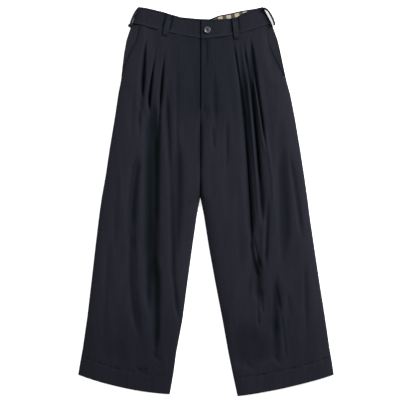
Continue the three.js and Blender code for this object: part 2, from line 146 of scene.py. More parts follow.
# %% [markdown]
# ## The folds
# Pleats open into long soft folds. Each one follows a curve through its top, middle and low points,
# given as x and y. Then come half its width, how far it sinks, negative where it stands up, and the
# lengths of its soft upper and lower ends. A last number makes one side of a fold that many times
# wider, the right one in the picture, or the left one where it is negative. The first tables are
# the model's own folds, and the fine ones are the creases that only the sheets have.

# %% Folds of the two fronts
Fold = namedtuple("Fold", "name top_x top_y mid_x mid_y low_x low_y half deep fade_up fade_low soft",
                  defaults=(1,))


def folds(*rows):
    return [Fold(*row) for row in rows]


RIGHT_FOLDS = folds(
    ("outer pleat", -155, 434, -162, 335, -166, 250, 4, 9, 90, 70, -1.6),
    ("middle pleat", -132, 385, -143, 305, -150, 232, 3.6, 9.5, 90, 40, -1.4),
    ("inner pleat", -105, 410, -116, 318, -121, 185, 3.2, 7.5, 120, 90, 1.8),
    ("pleat hollow", -139, 285, -142, 60, -144, -250, 18, 11, 110, 130),
    ("pleat hollow line", -131, 190, -129, 60, -130, -80, 7, 3, 60, 60),
    ("hollow outer end", -146, -130, -151, -210, -147, -300, 9, 5, 60, 70),
    ("hollow inner end", -131, -120, -130, -260, -134, -425, 9, 6, 90, 80),
    ("beside pleats", -82, 362, -76, 255, -77, 120, 5, 2.2, 90, 70),
    ("inner crease", -103, 290, -93, 60, -84, -240, 7, 2.4, 60, 50),
    ("inner crease low", -81, -190, -77, -265, -64, -335, 6, 3, 60, 50),
    ("inner hollow", -74, 170, -79, 20, -80, -170, 15, 3.8, 80, 80),
    ("outer hollow", -175, 140, -191, 20, -190, -140, 13, 4.4, 60, 40),
    ("outer hollow low", -189, -70, -189, -240, -172, -370, 13, 4.5, 80, 90),
    ("outer crease", -172, 255, -175, 215, -178, 180, 5, 2.5, 30, 30),
)
LEFT_FOLDS = folds(
    ("inner pleat", 70, 430, 100, 190, 121, -127, 3, 5, 60, 60),
    ("inner hollow", 86, 420, 106, 160, 119, -125, 9.5, 8.5, 150, 80),
    ("middle pleat", 95, 430, 121, 250, 142, 29, 4, 5.5, 80, 60),
    ("pleat ridge", 106, 340, 125, 150, 143, -70, 3.5, -4, 70, 60),
    ("outer hollow", 113, 425, 131, 150, 149, -80, 8.5, 8, 90, 80),
    ("outer pleat", 114, 436, 140, 255, 162, 95, 3.6, 6.5, 60, 110),
    ("outer pleat low", 163, 40, 158, -75, 155, -190, 6, 3.6, 90, 60),
    ("inner pleat low", 117, -80, 123, -150, 138, -205, 6, 6, 40, 30),
    ("pleat end", 137, -130, 134, -205, 142, -290, 10, 7, 40, 60),
    ("inside the end", 151, -30, 148, -90, 146, -150, 7, -3, 40, 30),
    ("knee crease", 117, -130, 116, -205, 108, -265, 8, 3.2, 50, 50),
    ("calf hollow", 186, -175, 180, -270, 178, -392, 12, 6.5, 70, 80),
    ("calf crease 1", 184, -215, 188, -255, 197, -295, 5, 2, 30, 30),
    ("calf crease 2", 197, -290, 202, -350, 211, -420, 4.5, 1.8, 30, 40),
    ("side crease", 215, 140, 236, 16, 254, -115, 6.5, 3.2, 60, 70),
    ("side crease low", 257, -130, 261, -240, 264, -345, 8, 2.6, 70, 70),
    ("side hollow", 200, 160, 203, -20, 200, -170, 15, 3, 90, 90),
    ("beside the fly", 22, 345, 21, 255, 27, 188, 7, 2.6, 80, 60),
    ("crotch crease 1", 17, 205, 18, 165, 21, 125, 5, 2.5, 30, 30),
    ("crotch crease 2", 51, 215, 54, 160, 57, 100, 6, 1.3, 40, 40),
)

# %% Small creases that only the sheets have
RIGHT_FINE = folds(
    ("outer pleat edge", -155, 436, -161, 345, -163, 262, 2, 3.5, 70, 40, -2.5),
    ("outer pleat slope", -164, 367, -166, 289, -170, 222, 8, 3, 50, 40),
    ("middle pleat edge", -126, 430, -139, 325, -148, 240, 1.8, 1.8, 60, 30),
    ("middle pleat end", -144, 306, -147, 268, -148, 222, 4, 5, 30, 30),
    ("inner pleat edge", -104, 410, -114, 325, -120, 240, 2, 3, 110, 40, 2),
    ("outer pleat end", -176, 285, -169, 250, -158, 205, 6, 1.6, 30, 30),
    ("hollow inner edge", -121, 245, -122, 205, -127, 100, 5, 2.4, 30, 50),
    ("hollow outer edge", -151, 150, -151, 10, -153, -180, 8, 2.6, 60, 80),
    ("valley crest", -152, 285, -151, 231, -156, 130, 3, -1.5, 40, 40),
    ("second line", -104, 305, -100, 210, -94, 60, 6, 1.6, 60, 60),
    ("third line", -79, 370, -71.5, 283, -69, 150, 3, 0.9, 60, 60, 2),
    ("third line low", -74, 190, -70, 65, -76, -110, 8, 1.6, 60, 60),
    ("outer line top", -173, 245, -171.5, 205, -175.5, 155, 4, 1.6, 30, 30),
    ("long line", -174, 115, -188.5, 16, -192.5, -80, 3.5, 2.4, 40, 40, 3),
    ("long line low", -194, -70, -192, -255, -174, -365, 5, 1.2, 60, 80),
    ("valley foot", -139, -110, -141, -220, -140, -345, 15, 5, 90, 110),
    ("valley branch", -126, -140, -125, -283, -131, -400, 6, 1.5, 60, 50),
    ("inner low", -90, -95, -83, -218, -72, -320, 6, 1.6, 60, 60),
    ("hip fold", -186, 300, -190, 240, -195, 170, 8, 1.4, 50, 50),
    ("outer soft 1", -225, 120, -232, 0, -238, -150, 10, 1.6, 90, 90),
    ("outer soft 2", -252, -60, -258, -200, -268, -370, 9, 1.3, 90, 90),
    ("hem pucker 1", -140, -386, -130, -404, -116, -424, 8, 1.8, 14, 14),
    ("hem pucker 2", -182, -428, -173, -438, -166, -448, 5, 2.4, 9, 9),
    ("hem pucker 3", -154, -428, -158, -438, -165, -449, 5, 2.2, 9, 9),
    ("above the hem", -236, -340, -244, -390, -252, -425, 26, 1.6, 40, 30),
)
LEFT_FINE = folds(
    ("inner pleat edge", 75, 400, 95, 247, 114, -29, 1.6, 3, 110, 60, 2),
    ("hollow light", 93, 330, 103, 255, 110, 195, 4, -2.6, 50, 50),
    ("thin ridge", 103, 365, 121, 165, 138, -60, 2.4, -3, 50, 60),
    ("middle left line", 99, 400, 118, 268, 139, 60, 2, 2, 30, 60),
    ("middle right line", 117, 396, 135, 268, 155, 125, 3, 3, 30, 60),
    ("middle thin ridge", 120, 340, 134, 250, 155, 107, 1.7, -3, 40, 50),
    ("third line end", 147, 195, 154, 152, 160, 105, 3, -3, 30, 30),
    ("hip soft fold", 170, 410, 182, 345, 194, 290, 14, 1.2, 40, 40),
    ("outer ridge", 147, 210, 169, 86, 175.5, -15, 4, -2, 40, 40),
    ("outer line low", 160, -10, 157, -88, 154, -165, 3, 1, 40, 30),
    ("inner line low", 123, -80, 134, -140, 147, -185, 3, 2.6, 30, 20),
    ("end line 1", 131, -255, 135, -290, 137, -330, 3.5, 2, 20, 20),
    ("end line 2", 144, -225, 146, -260, 148, -300, 3.5, 2, 20, 20),
    ("calf line", 184, -210, 191, -270, 200, -330, 3, 0.8, 30, 40, 2),
    ("calf hollow start", 190, -178, 187, -222, 187, -275, 8, -2.6, 30, 40),
    ("calf hollow end", 178, -290, 183, -355, 182, -425, 10, 3.4, 50, 30),
    ("calf pull", 208, -225, 216, -262, 222, -320, 7, 1.3, 30, 40),
    ("calf streak", 160, -230, 158, -290, 152, -370, 9, 1.7, 50, 60),
    ("side line", 217, 118, 232.5, 8, 251, -120, 3.5, 1.2, 50, 50, 2),
    ("side line low", 253, -150, 257, -257, 261, -355, 4, 0.8, 50, 50),
    ("side band", 194, 230, 198, 40, 208, -230, 14, 2.4, 80, 90),
    ("fly fold", 2, 424, 2.5, 380, 5, 325, 2.6, 1, 8, 50),
    ("fly soft fold", 24.5, 330, 26, 231, 19.5, 120, 6, 1, 60, 70),
    ("thigh soft fold", 56, 240, 55, 159, 52, 65, 5, 1.2, 50, 50),
    ("inner soft fold", 84, 60, 88, -60, 92, -190, 10, 1.5, 80, 80),
    ("crotch pucker 1", -6, 258, -4, 240, -8, 215, 3, 1.2, 14, 18),
    ("crotch pucker 2", 6, 248, 2, 225, -3, 198, 3, 1.2, 14, 18),
    ("shin hollow", 98, -300, 104, -385, 112, -450, 38, 4.6, 70, 45),
    ("hem pucker 1", 100, -408, 112, -426, 126, -446, 9, 1.5, 18, 18),
    ("hem pucker 2", 176, -394, 186, -412, 196, -432, 9, 1.4, 18, 18),
    ("above the hem", 150, -330, 158, -385, 150, -430, 24, 2.2, 50, 30),
)

Leg = namedtuple("Leg", "inward sections folds fine")
LEGS = {
    "right": Leg(1, RIGHT_SECTIONS, RIGHT_FOLDS, RIGHT_FINE),
    "left": Leg(-1, LEFT_SECTIONS, LEFT_FOLDS, LEFT_FINE),
}
print("folds:", {side: len(leg.folds + leg.fine) for side, leg in LEGS.items()})

# %% [markdown]
# Two tables over y say how far the fronts stand off the backs, and how much of it the centre seam
# takes back. The band's edges are tables over x.

# %% Loft and the waistband's edges
LOFT_BY_Y = ((-505, 3), (-420, 6), (-300, 11), (-50, 14), (150, 13), (300, 10), (423, 4), (470, 3))
SINK_BY_Y = ((12, 1), (40, 0.9), (60, 0.55), (120, 0.6), (190, 0.85), (216, 0.35), (247, 0))
BAND_TOPS = {
    "right": ((-175, 507), (-160, 505), (-144, 501.5), (-113, 494), (-97, 489), (-66, 480), (-13, 475),
              (24, 474)),
    "left": ((-13, 475), (27, 474), (61, 476), (81, 480), (95, 489), (111, 496), (128, 502), (148, 507)),
    "back": ((-175, 503), (-92, 479), (-40, 469), (-6, 470), (14, 477), (32, 484.5), (64, 490.5),
             (95, 497.5), (127, 502.5), (148, 506)),
}
BandEnd = namedtuple("BandEnd", "top_x top_y low_x low_y")
BAND_ENDS = {"right": BandEnd(-175, 507, -193, 463), "left": BandEnd(148, 507, 171, 464)}

# %% [markdown]
# ## Shaping functions
# A garment laid flat is a height over the table: these functions give the under side of a sheet at
# any point, so sheets, loops and stitches can all be set on the same surface.

# %% Lines, soft steps and folds
def smooth(s):
    """A soft step from 0 to 1."""
    s = np.clip(s, 0, 1)
    return s * s * (3 - 2 * s)


def mound(distance, half):
    """1 at a line, falling softly to 0 on both sides of it."""
    return np.exp(-((distance / half) ** 2))


def blend(a, b, share):
    return a * (1 - share) + b * share


def between(y, low, low_fade, high, high_fade):
    """1 between two heights, fading to 0 towards each of them."""
    return smooth((y - low) / low_fade) * smooth((high - y) / high_fade)


def line_through(keys, values, at):
    """Value of a straight-sided line through rising keys, carried on past its ends."""
    keys, values = np.asarray(keys, float), np.asarray(values, float)
    i = np.clip(np.searchsorted(keys, at) - 1, 0, len(keys) - 2)
    share = (at - keys[i]) / (keys[i + 1] - keys[i])
    return values[i] + share * (values[i + 1] - values[i])


def table_line(rows, at, held=False):
    """The same for a table of pairs, held at its ends if asked."""
    keys, values = zip(*rows)
    return line_through(keys, values, np.clip(at, keys[0], keys[-1]) if held else at)


def edge_x(side, edge, y):
    """x of a leg's edge at a height y: edge is side, mouth or in."""
    rows = LEGS[side].sections[::-1]
    keys = [getattr(r, edge + "_y") for r in rows]
    return line_through(keys, [getattr(r, edge + "_x") for r in rows], y)


def rise(distance, reach):
    """Rise of a sheet from 0 at its edge to 1 at the reach, round like a quarter of an ellipse."""
    s = np.clip(distance / reach, 0, 1)
    return np.sqrt(1 - (1 - s) ** 2)


FLOOR_SOFTNESS = 2
POINTED = 0.4  # share of a fold's width that is left at its tips
WIDE = 12  # a fold wider than this has a flatter bottom
NARROW_POWER, WIDE_POWER = 2, 2.8
FAR = 6  # half widths at which a fold no longer counts


def soft_floor(value):
    """A softened max(value, 0), so that a trough meets the floor without a crease."""
    return 0.5 * (value + np.sqrt(value * value + FLOOR_SOFTNESS))


def fold_depth(fold, x, y):
    """Depth of one fold, which narrows to a point at both ends."""
    top, mid, low = fold.top_y, fold.mid_y, fold.low_y
    middle = (fold.top_x * (y - mid) * (y - low) / ((top - mid) * (top - low))
              + fold.mid_x * (y - top) * (y - low) / ((mid - top) * (mid - low))
              + fold.low_x * (y - top) * (y - mid) / ((low - top) * (low - mid)))
    ends = between(y, low, fold.fade_low, top, fold.fade_up)
    s = (x - middle) / (fold.half * (POINTED + (1 - POINTED) * ends))
    s = np.abs(np.where(s > 0, s / max(fold.soft, 1), s / max(-fold.soft, 1)))
    power = WIDE_POWER if fold.half > WIDE else NARROW_POWER
    return fold.deep * ends * np.exp(-(np.minimum(s, FAR) ** power))


def fold_sum(folds, x, y):
    return sum(fold_depth(fold, x, y) for fold in folds)


# %% [markdown]
# The layers lie on one another, so each height is worked out from the one below it.

# %% Heights of the layers
CROTCH_ABOVE, CROTCH_FADE = 12, 40
STEEPEST = 1.8  # a wall is thickened upwards at most this many times
SLOPE_STEP = 2


def seam_y(side, x):
    """The seam between a front panel and the waistband."""
    row = LEGS[side].sections[0]
    u = (x - row.mouth_x) / (row.in_x - row.mouth_x)
    s = np.clip(u, 0, 1)
    inner = row.mouth_y + (row.in_y - row.mouth_y) * s - 4 * row.bow * s * (1 - s)
    past = (x - row.mouth_x) / (row.side_x - row.mouth_x)
    return np.where(u < 0, row.mouth_y + (row.side_y - row.mouth_y) * past, inner)


def lap(side, x):
    """1 where the left front laps over the right one, 0 away from it."""
    return (1 - smooth((x - LAP_FLAT) / LAP_FADE)) if side == "left" else np.zeros_like(x)


def band_under(side, x, y):
    """Under side of a front waistband piece."""
    end = BAND_ENDS[side]
    edge = end.top_x + (end.low_x - end.top_x) * (y - end.top_y) / (end.low_y - end.top_y)
    lofted = BAND_LOFT * rise((x - edge) * LEGS[side].inward, BAND_REACH)
    return BAND_REST + lofted + LAP_LIFT * lap(side, x)


def front_under(side, x, y, fine=False):
    """Under side of a front panel."""
    leg = LEGS[side]
    outer = (x - edge_x(side, "mouth", y)) * leg.inward
    inner = (edge_x(side, "in", y) - x) * leg.inward
    below_crotch = smooth((leg.sections[CROTCH].in_y + CROTCH_ABOVE - y) / CROTCH_FADE)
    in_reach = CENTRE_REACH + (INSEAM_REACH - CENTRE_REACH) * below_crotch
    sink = table_line(SINK_BY_Y, y, held=True)
    edges = rise(outer, SIDE_REACH) * (1 - sink * (1 - rise(inner, in_reach)))
    depth = fold_sum(leg.folds, x, y) + (fold_sum(leg.fine, x, y) if fine else 0)
    loft = table_line(LOFT_BY_Y, y, held=True)
    over_facing = 1 - smooth((outer - 2 * MOUTH_UNDER) / FADE)
    pocket = FACING_RISE * over_facing * smooth((y - POCKET_END + FADE) / FADE)
    fly = smooth((y - FLY_END + FADE) / FADE)
    free = FRONT_REST + pocket + edges * soft_floor(loft - depth) + FLY_LIFT * fly * lap(side, x)
    below = smooth((seam_y(side, x) - y) / FADE)
    return blend(band_under(side, x, y), free, below)


def upright(under, x, y, thick):
    """Thickness measured upwards, so that a sloping wall stays as thick as a level one."""
    slope_x = (under(x + SLOPE_STEP, y) - under(x - SLOPE_STEP, y)) / (2 * SLOPE_STEP)
    slope_y = (under(x, y + SLOPE_STEP) - under(x, y - SLOPE_STEP)) / (2 * SLOPE_STEP)
    return thick * np.minimum(np.sqrt(1 + slope_x ** 2 + slope_y ** 2), STEEPEST)


def front_top(side, x, y):
    """Top side of a front panel, with its small creases."""
    def under(a, b):
        return front_under(side, a, b, fine=True)

    return under(x, y) + upright(under, x, y, CLOTH)


# %% [markdown]
# ## Materials
# The outer cloth is a dark navy cotton and wool twill: a diagonal weave, no gloss, a faint bloom of
# fibres at grazing light. A twill line is about 1.2 mm wide here, twice the real one, so that it
# can be seen. The shade deep in pleats, seams and hollows is painted into the cloth's colour: an
# attribute of each sheet, worked out from its folds, mixes the navy towards a painted near-black.

# %% Colours and one helper for nodes
def linear(hex_colour):
    """sRGB hex to linear RGBA."""
    parts = [int(hex_colour[i:i + 2], 16) / 255 for i in (1, 3, 5)]
    return [p / 12.92 if p <= 0.04045 else ((p + 0.055) / 1.055) ** 2.4 for p in parts] + [1]


def set_values(node, values):
    for socket, value in values.items():
        node.inputs[socket].default_value = value


def put(tree, kind, values=None, links=None, **settings):
    """Adds a node with its settings, socket values and incoming links."""
    node = tree.nodes.new("ShaderNode" + kind)
    for key, value in settings.items():
        setattr(node, key, value)
    set_values(node, values or {})
    for socket, source in (links or {}).items():
        tree.links.new(source, node.inputs[socket])
    return node


def new_material(name):
    """A material, its tree and shader, and the Object coordinates for its patterns."""
    material = bpy.data.materials.new(name)
    material.use_nodes = True
    tree = material.node_tree
    return material, tree, tree.nodes["Principled BSDF"], put(tree, "TexCoord").outputs["Object"]


def surface(tree, shader, colour, height, strength, depth_mm, values):
    """Gives a shader its colour, its bump from a height, and its other values."""
    bump = put(tree, "Bump", {"Strength": strength, "Distance": depth_mm * MM}, {"Height": height})
    tree.links.new(colour, shader.inputs["Base Color"])
    tree.links.new(bump.outputs[0], shader.inputs["Normal"])
    set_values(shader, values)


def wave_scale(pitch_mm):
    """Scale of a Wave Texture whose bands are that far apart."""
    return math.pi / 10 / (pitch_mm * MM)


# %% Navy twill
NAVY = "#1c1c24"
# The near-black that painted shade mixes in, deep in the folds and along the seams
NAVY_PAINTED_SHADE = "#030b0e"
TWILL_PITCH = 1.2
TWILL_TURN = math.radians(63)
FIBRE = 0.9
MOTTLE = 9.0
STREAK = 0.15  # the mottle is drawn out along the legs


# light is the cloth's own colour, and deep the colour of its painted shade
def navy_twill(name, light, deep):
    material, tree, shader, coords = new_material(name)
    folds = put(tree, "Attribute", attribute_name="painted_shade").outputs["Fac"]
    drawn = put(tree, "Mapping", {"Scale": (1, STREAK, 1)}, {"Vector": coords})
    mottle = put(tree, "TexNoise", {"Scale": 1 / (MOTTLE * MM), "Detail": 4.0, "Roughness": 0.7},
                 {"Vector": drawn.outputs[0]})
    # Painted shade: the cloth's colour is mixed towards the deep one by the sheet's attribute
    painted_shade_mix = put(tree, "Mix", {6: linear(light), 7: linear(deep)}, {0: folds}, data_type="RGBA")
    shade = put(tree, "MapRange", {"To Min": 0.72, "To Max": 1.28}, {"Value": mottle.outputs["Fac"]})
    tint = put(tree, "CombineColor", {}, {c: shade.outputs[0] for c in ("Red", "Green", "Blue")})
    base = put(tree, "Mix", {0: 1.0}, {6: painted_shade_mix.outputs[2], 7: tint.outputs[0]},
               data_type="RGBA", blend_type="MULTIPLY")
    turned = put(tree, "Mapping", {"Rotation": (0, 0, TWILL_TURN)}, {"Vector": coords})
    twill = put(tree, "TexWave", {"Scale": wave_scale(TWILL_PITCH), "Distortion": 0.6,
                                  "Detail": 1.0}, {"Vector": turned.outputs[0]})
    fibre = put(tree, "TexNoise", {"Scale": 1 / (FIBRE * MM), "Detail": 2.0}, {"Vector": coords})
    height = put(tree, "Math", {}, {0: twill.outputs["Fac"], 1: fibre.outputs["Fac"]},
                 operation="ADD")
    surface(tree, shader, base.outputs[2], height.outputs[0], 0.35, 0.12, {
        "Roughness": 0.88, "Specular IOR Level": 0.08, "Sheen Weight": 0.04,
        "Sheen Roughness": 0.5, "Sheen Tint": linear("#c8c8e0")})
    return material


# The outer cloth, dull and close, and its darker wrong side on the hidden shield, both with painted
# shade
cloth = navy_twill("navy cotton twill", NAVY, NAVY_PAINTED_SHADE)
inner_cloth = navy_twill("navy twill inside", "#16161c", NAVY_PAINTED_SHADE)

# %% [markdown]
# The other finishes are plain, but the lining has a check, made of two crossing waves.

# %% Lining, thread, button and tape
CHECK_PITCH = 22.0
CHECK_TURN = math.radians(-12)
CHECK_SHIFT = (-0.004, -0.459, 0)
POPLIN_WEAVE = 0.8


def check_lining():
    """A light poplin, cream with charcoal bands both ways."""
    material, tree, shader, coords = new_material("checked cotton poplin")
    straight = put(tree, "Mapping", {"Rotation": (0, 0, CHECK_TURN), "Location": CHECK_SHIFT},
                   {"Vector": coords})
    bands = []
    for axis in ("X", "Y"):
        wave = put(tree, "TexWave", {"Scale": wave_scale(CHECK_PITCH)}, {"Vector": straight.outputs[0]},
                   bands_direction=axis)
        bands.append(put(tree, "MapRange", {"From Min": 0.5, "From Max": 0.62},
                         {"Value": wave.outputs["Fac"]}).outputs[0])
    both = put(tree, "Math", {}, {0: bands[0], 1: bands[1]}, operation="ADD")
    half = put(tree, "Math", {1: 0.5}, {0: both.outputs[0]}, operation="MULTIPLY")
    colours = put(tree, "ValToRGB", {}, {"Fac": half.outputs[0]})
    ramp = colours.color_ramp
    ramp.elements[0].color = linear("#958c74")
    ramp.elements[1].color = linear("#1c1c20")
    ramp.elements.new(0.5).color = linear("#35312c")
    weave = put(tree, "TexChecker", {"Scale": 1 / (POPLIN_WEAVE * MM)}, {"Vector": coords})
    surface(tree, shader, colours.outputs[0], weave.outputs["Fac"], 0.3, 0.06, {"Roughness": 0.8})
    return material


def plain(name, colour, roughness, grain_mm, depth_mm, gloss=0.5):
    """A plain finish with a fine grain."""
    material, tree, shader, coords = new_material(name)
    grain = put(tree, "TexNoise", {"Scale": 1 / (grain_mm * MM), "Detail": 3.0}, {"Vector": coords})
    dark = [c * 0.7 for c in linear(colour)[:3]] + [1]
    tone = put(tree, "Mix", {6: dark, 7: linear(colour)}, {0: grain.outputs["Fac"]}, data_type="RGBA")
    surface(tree, shader, tone.outputs[2], grain.outputs["Fac"], 0.4, depth_mm,
            {"Roughness": roughness, "Specular IOR Level": gloss})
    return material


# Shirting poplin, dull spun sewing thread, a moulded imitation of horn, and a woven zip tape
lining = check_lining()
thread = plain("navy polyester thread", "#101015", 0.6, 0.5, 0.05, gloss=0.1)
button_horn = plain("grey mottled horn resin", "#494a4d", 0.35, 3.0, 0.02)
tape = plain("woven zip tape", "#121216", 0.8, 0.6, 0.05, gloss=0.1)

# %% [markdown]
# ## Sheets
# Every sheet starts as a flat grid, the way cloth starts flat. Its points are then moved: u runs
# from 0 to 1 across the piece and v from 0 to 1 down it. Solidify gives the sheet its thickness
# downwards, as the model's wall has it.

# %% One function makes every sheet
def new_object(name, data):
    made = bpy.data.objects.new(name, data)
    bpy.context.scene.collection.objects.link(made)
    return made


def clear_selection():
    bpy.ops.object.select_all(action="DESELECT")


def select_only(piece):
    clear_selection()
    piece.select_set(True)
    bpy.context.view_layer.objects.active = piece


def apply_modifier(piece, kind, **settings):
    """Adds a modifier with its settings and applies it."""
    select_only(piece)
    modifier = piece.modifiers.new(kind.title(), kind)
    for key, value in settings.items():
        setattr(modifier, key, value)
    bpy.ops.object.modifier_apply(modifier=modifier.name)


def join_frame(piece, node, material):
    """Lets a piece stand for a node of the model."""
    piece.data.materials.clear()
    piece.data.materials.append(material)
    for polygon in piece.data.polygons:
        polygon.use_smooth = True
    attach(piece, "root")
    if node:
        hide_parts(node)
    return piece


def blurred(field, spread):
    """A grid of values softened over spread cells down and across."""
    for axis, cells in enumerate(spread):
        reach = int(2.5 * cells) + 1
        steps = np.arange(-reach, reach + 1)
        weights = np.exp(-0.5 * (steps / cells) ** 2)
        weights /= weights.sum()
        margin = [(reach, reach) if k == axis else (0, 0) for k in (0, 1)]
        wide = np.pad(field, margin, mode="reflect", reflect_type="odd")
        field = sum(w * np.take(wide, range(i, i + field.shape[axis]), axis)
                    for i, w in enumerate(weights))
    return field


# Painted shade in hollows: how far around a point to look, and how deep a hollow is fully dark
HOLLOW_REACH = 9.0
HOLLOW_DEEP = 5.0


def painted_hollow_shade(x, y, z):
    """Painted shade: 0 on open cloth to 1 in a hollow, by how far a point lies below the cloth around
    it.
    """
    cell = (np.abs(np.diff(y, axis=0)).mean(), np.abs(np.diff(x, axis=1)).mean())
    below = blurred(z, [HOLLOW_REACH / c for c in cell]) - z
    return np.clip(below / HOLLOW_DEEP, 0, 1)


def sheet(node, grid, shape, thick, kind="sheet", finish=None, facing=(0, 0, 1)):
    """A sheet for a node of the model, whose top side is shape(u, v) -> x, y, z and a painted shade."""
    columns, rows = grid
    slot, material = finish or ("navy_twill", cloth)
    clear_selection()
    bpy.ops.mesh.primitive_grid_add(x_subdivisions=columns, y_subdivisions=rows, size=1)
    piece = bpy.context.object
    piece.name = piece.data.name = f"{node}_{kind}"
    points = np.array([point.co for point in piece.data.vertices])
    x, y, z, shade = shape(points[:, 0] + 0.5, 0.5 - points[:, 1])
    moved = np.stack([x, y, z], 1) * MM
    piece.data.vertices.foreach_set("co", moved.astype(np.float32).ravel())
    # The sheet's painted shade: the shape's own, joined with the painted shade of its hollows
    hollow = painted_hollow_shade(*(a.reshape(rows + 1, columns + 1) for a in (x, y, z))).ravel()
    tone = piece.data.attributes.new("painted_shade", "FLOAT", "POINT")
    tone.data.foreach_set("value", (1 - (1 - shade) * (1 - hollow)).astype(np.float32))
    piece.data.update()
    normal = sum((polygon.normal for polygon in piece.data.polygons), Vector())
    if normal.dot(Vector(facing)) < 0:
        piece.data.flip_normals()
    apply_modifier(piece, "SOLIDIFY", thickness=thick * MM, offset=-1)
    for point in piece.data.vertices:
        point.co.z = max(point.co.z, 0)
    print(piece.name, len(piece.data.polygons), "faces")
    return join_frame(piece, node, material)


# %% [markdown]
# ## Fronts and backs
# A front panel is a quarter of the legs' cloth. The rows are spread evenly down the leg, and a slow
# ripple up to a millimetre high keeps the cloth from looking like sheet metal.

# %% Points of a leg
TUCKED = 0.7  # how far a panel reaches past the band's seam, so that no gap shows
CLOSED = 0.4  # how far each back reaches past the centre seam, for the same reason


def leg_point(side, edge, u, v):
    """x and y on a leg, with v spread evenly along the leg's length."""
    leg = LEGS[side]
    column = {key: np.array([getattr(row, key) for row in leg.sections], float)
              for key in (edge + "_x", edge + "_y", "in_x", "in_y", "bow")}
    seat_rows = column["in_y"] >= leg.sections[CROTCH].in_y
    closed = CLOSED if edge == "side" else -SEAM / 2
    column["in_x"] += np.where(seat_rows, closed, -SEAM / 2) * leg.inward
    middle = (column[edge + "_y"] + column["in_y"]) / 2
    down = (middle[0] - middle) / (middle[0] - middle[-1])
    value = {key: np.interp(v, down, column[key]) for key in column}
    x = blend(value[edge + "_x"], value["in_x"], u)
    y = blend(value[edge + "_y"], value["in_y"], u) - 4 * value["bow"] * u * (1 - u)
    return x, np.where(v < 1e-6, seam_y(side, x) + TUCKED, y)


def ripple(x, y):
    """A slow unevenness of the cloth: three waves, each longer down the leg than across it."""
    a = np.sin(x / 15 + 1.3 * np.sin(y / 91)) * np.sin(y / 117 + 0.8 * np.sin(x / 31))
    b = np.sin(x / 7 + y / 120 + 2) * np.sin(y / 63 + 1)
    c = np.sin(x / 3.6 + 1.1 * np.sin(y / 47)) * np.sin(y / 41 + 0.5 * np.sin(x / 9))
    return 0.8 * a + 0.45 * b + 0.12 * c


# %% [markdown]
# The hem is turned up, so its cloth is double. Its stitches pull an uneven shallow dent.

# %% The hem's relief
HEM_STITCH = 46
HEM_DENT = 0.9
HEM_STEP = 0.5
HEM_WAVER = 1.5
HEM_HALF = 2.2


def hem_distance(side, u, v):
    """Distance from the hem, along the leg."""
    last = LEGS[side].sections[-1]
    hem = blend(last.side_y, last.in_y, u) - 4 * last.bow * u * (1 - u)
    return leg_point(side, "mouth", u, v)[1] - hem


def hem_relief(side, u, v):
    """The stitched line above the hem, and the second layer below it."""
    waver = HEM_WAVER * np.sin(9 * u + 1) * np.sin(23 * u)
    far = hem_distance(side, u, v) - HEM_STITCH - waver
    pucker = 0.9 + 0.7 * np.sin(70 * u) * np.sin(31 * u + 2)
    return HEM_STEP * smooth((2 - far) / 4) - HEM_DENT * pucker * mound(far, HEM_HALF)


# %% [markdown]
# Places and widths are in millimetres, shades are shares of full dark. All of it is painted shade: the
# folds darken the cloth most, then the seams, and wide faint shades lie over the seat and towards the
# hems.

# %% How dark the fronts are
SHADE_MAIN, SHADE_FINE = 8.6, 9.0  # fold depths for about two thirds of full dark
SHADE_POWER = 1.4
# Places, widths and strengths of the painted shadows along the seams, the fly and the pocket mouths
CENTRE_HALF, CENTRE_WAVE, CENTRE_TOP = 7.0, 22, 220
FLY_HALF, FLY_LOW = 3.4, 235
FLY_FOLD_X, FLY_FOLD_LOW = 2.5, 320
MOUTH_HALF, MOUTH_LOW, MOUTH_HIGH = 4, 310, 430
MOUTH_PAINTED_SHADOW = {"right": 0.12, "left": 1.3}
BAND_SHADE_HALF, LAP_SHADE_END = 3, 60
# Wide painted shade, darker towards the hems and over the middle of the seat
HEM_PAINTED_SHADE = {"right": 0.3, "left": 0.14}
SHIN_Y, SHIN_FADE = -180, 220
SEAT_PAINTED_SHADE, SEAT_HALF, SEAT_LOW, SEAT_FADE = 0.42, 120, 120, 160


def painted_shade(side, x, y):
    """Painted shade: 0 on open cloth to near 1 in the deepest pleat."""
    leg = LEGS[side]
    inner = (edge_x(side, "in", y) - x) * leg.inward
    outer = (x - edge_x(side, "mouth", y)) * leg.inward
    crotch_y = leg.sections[CROTCH].in_y
    folds = np.maximum(fold_sum(leg.folds, x, y), 0) / SHADE_MAIN
    folds += np.maximum(fold_sum(leg.fine, x, y), 0) / SHADE_FINE
    # Painted shadows along the centre seam, the fly's edge and the pocket mouth
    centre = between(y, crotch_y - 20, 20, CENTRE_TOP, 40) * mound(inner, CENTRE_HALF)
    seams = 1.2 * centre * (0.8 + 0.4 * np.cos(y / CENTRE_WAVE))
    seams += smooth((y - FLY_LOW) / 20) * mound(inner, FLY_HALF)
    seams += MOUTH_PAINTED_SHADOW[side] * between(y, MOUTH_LOW, 20, MOUTH_HIGH, 50) * mound(outer, MOUTH_HALF)
    # Painted shadow under the band's lower edge, stronger where the left end laps over
    under_band = mound(seam_y(side, x) - y, BAND_SHADE_HALF)
    seams += 0.3 * under_band
    if side == "left":
        seams += 0.9 * smooth((y - FLY_FOLD_LOW) / 60) * mound(x - FLY_FOLD_X, FLY_HALF)
        seams += 0.9 * smooth((LAP_SHADE_END - x) / 12) * under_band
    # Wide painted shade towards the hems and over the seat
    wide = HEM_PAINTED_SHADE[side] * smooth((SHIN_Y - y) / SHIN_FADE)
    wide += SEAT_PAINTED_SHADE * mound(x, SEAT_HALF) * smooth((y - SEAT_LOW) / SEAT_FADE)
    return 1 - (1 - wide) * np.exp(-((folds + seams) ** SHADE_POWER))


